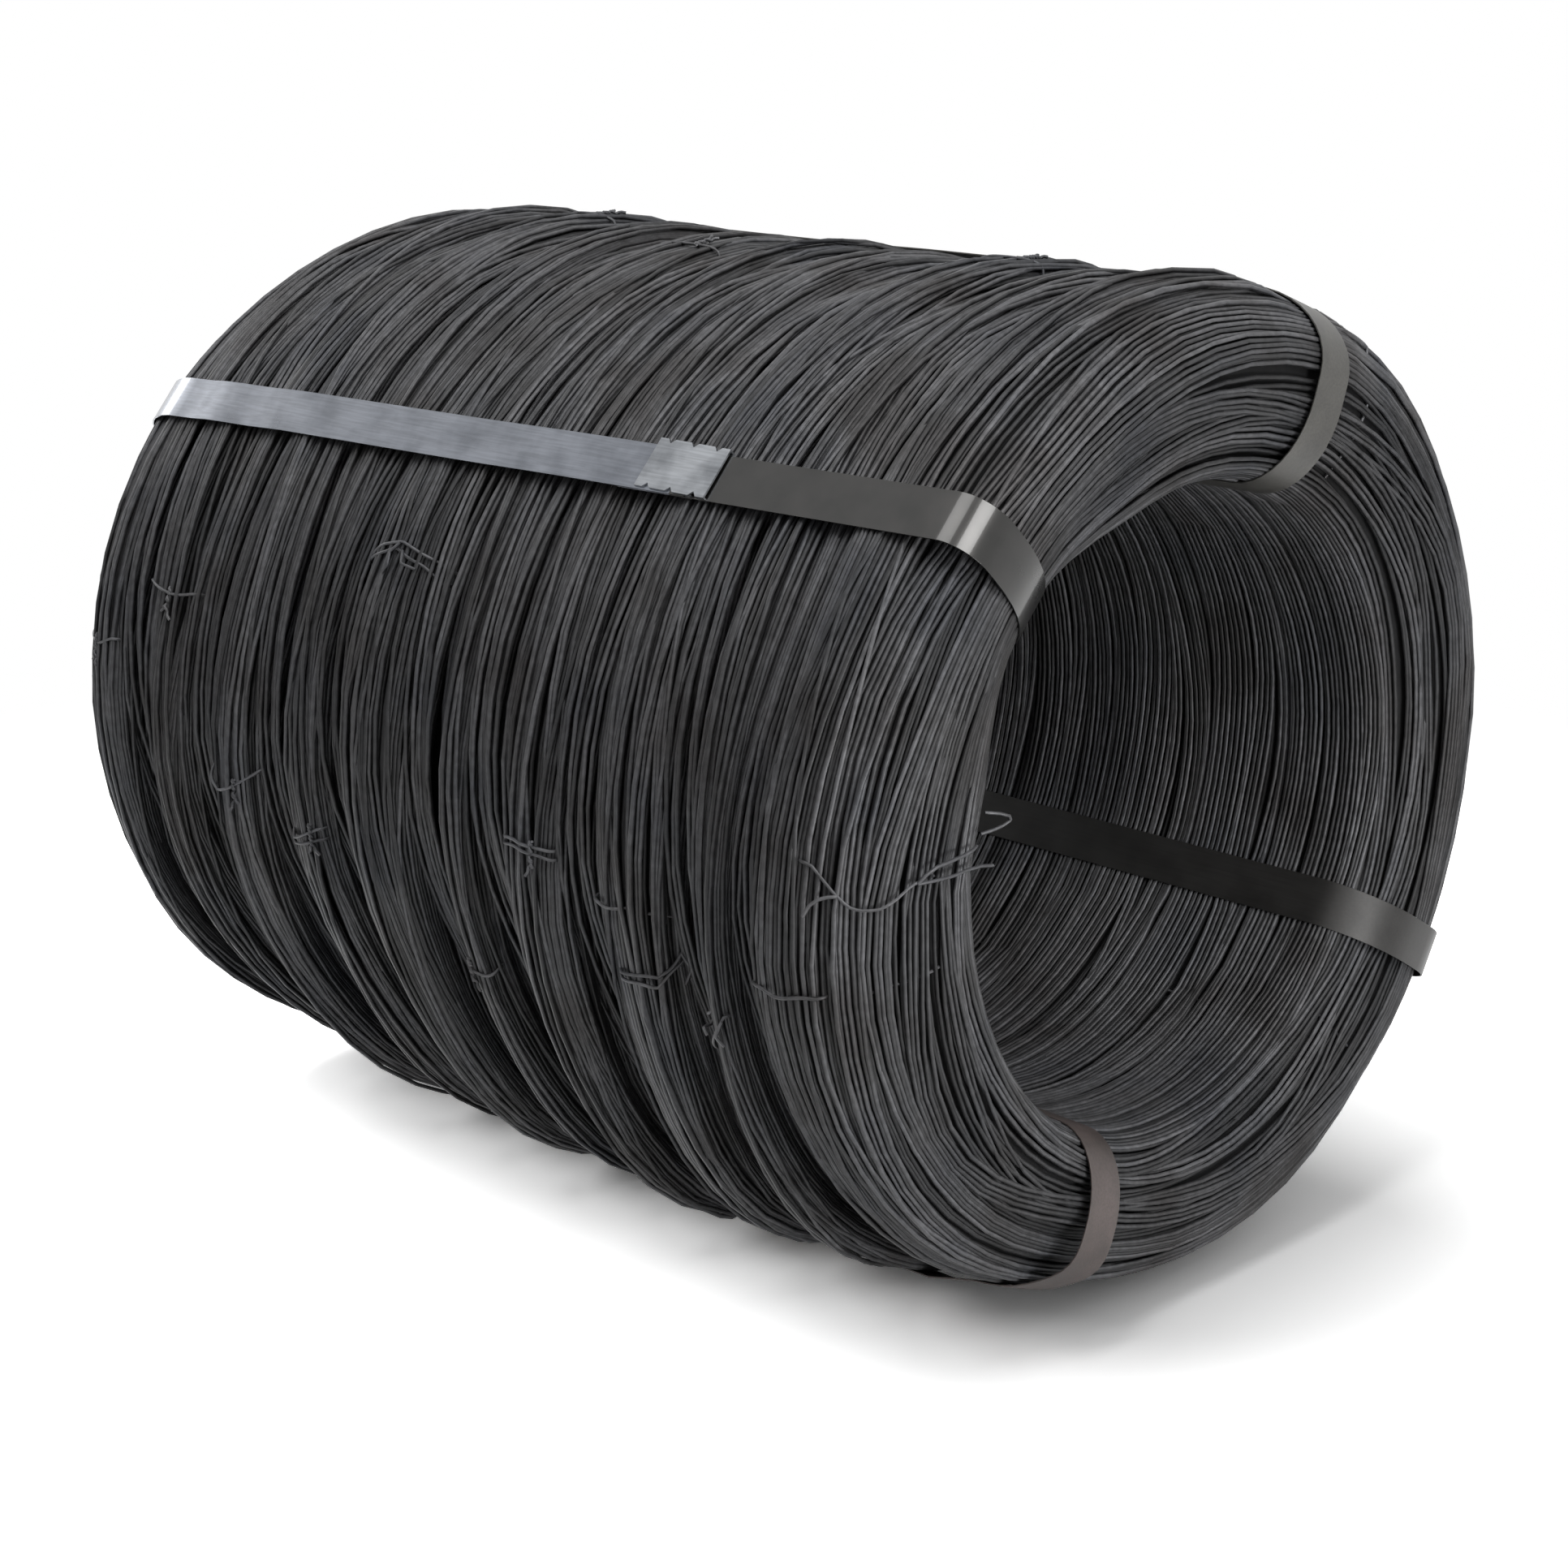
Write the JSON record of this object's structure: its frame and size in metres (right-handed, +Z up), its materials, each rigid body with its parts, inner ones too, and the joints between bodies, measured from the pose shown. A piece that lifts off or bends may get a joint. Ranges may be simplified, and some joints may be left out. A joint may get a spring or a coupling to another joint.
{
  "type": "strapped bundle of wire coils",
  "caption": "Bundle of black annealed steel wire coils lying side by side on one bore, held by flat steel straps with notched sleeves, each coil bound by thin wire ties",
  "frame": {"origin": "on the floor, below the middle of the bundle's bounding box", "axes": "+X along the bore towards the end that the picture shows, +Z up, -Y on the camera's side"},
  "size_m": [0.6212, 0.5236, 0.5231],
  "materials": {
    "wire": "black oxide from annealing, matte, a little oily",
    "tie_wire": "black annealed tie wire, matte",
    "galvanised_strap": "bright steel strapping, smooth, cool grey",
    "black_strap": "black lacquered steel strapping, satin",
    "sleeve": "pressed steel sleeve, bright at its notches"
  },
  "bodies": {
    "root": {"coil_01": "wire", "coil_02": "wire", "coil_03": "wire", "coil_04": "wire", "coil_05": "wire", "coil_06": "wire", "coil_07": "wire", "coil_08": "wire", "coil_09": "wire", "coil_10": "wire", "ties_01": "tie_wire", "ties_02": "tie_wire", "ties_03": "tie_wire", "ties_04": "tie_wire", "ties_05": "tie_wire", "ties_06": "tie_wire", "ties_07": "tie_wire", "ties_08": "tie_wire", "ties_09": "tie_wire", "ties_10": "tie_wire", "strap_front": "galvanised_strap", "strap_top": "black_strap", "strap_back": "black_strap", "strap_low": "black_strap", "seal_front": "sleeve", "seal_top": "sleeve", "seal_back": "sleeve", "seal_low": "sleeve"}
  },
  "joints": []
}
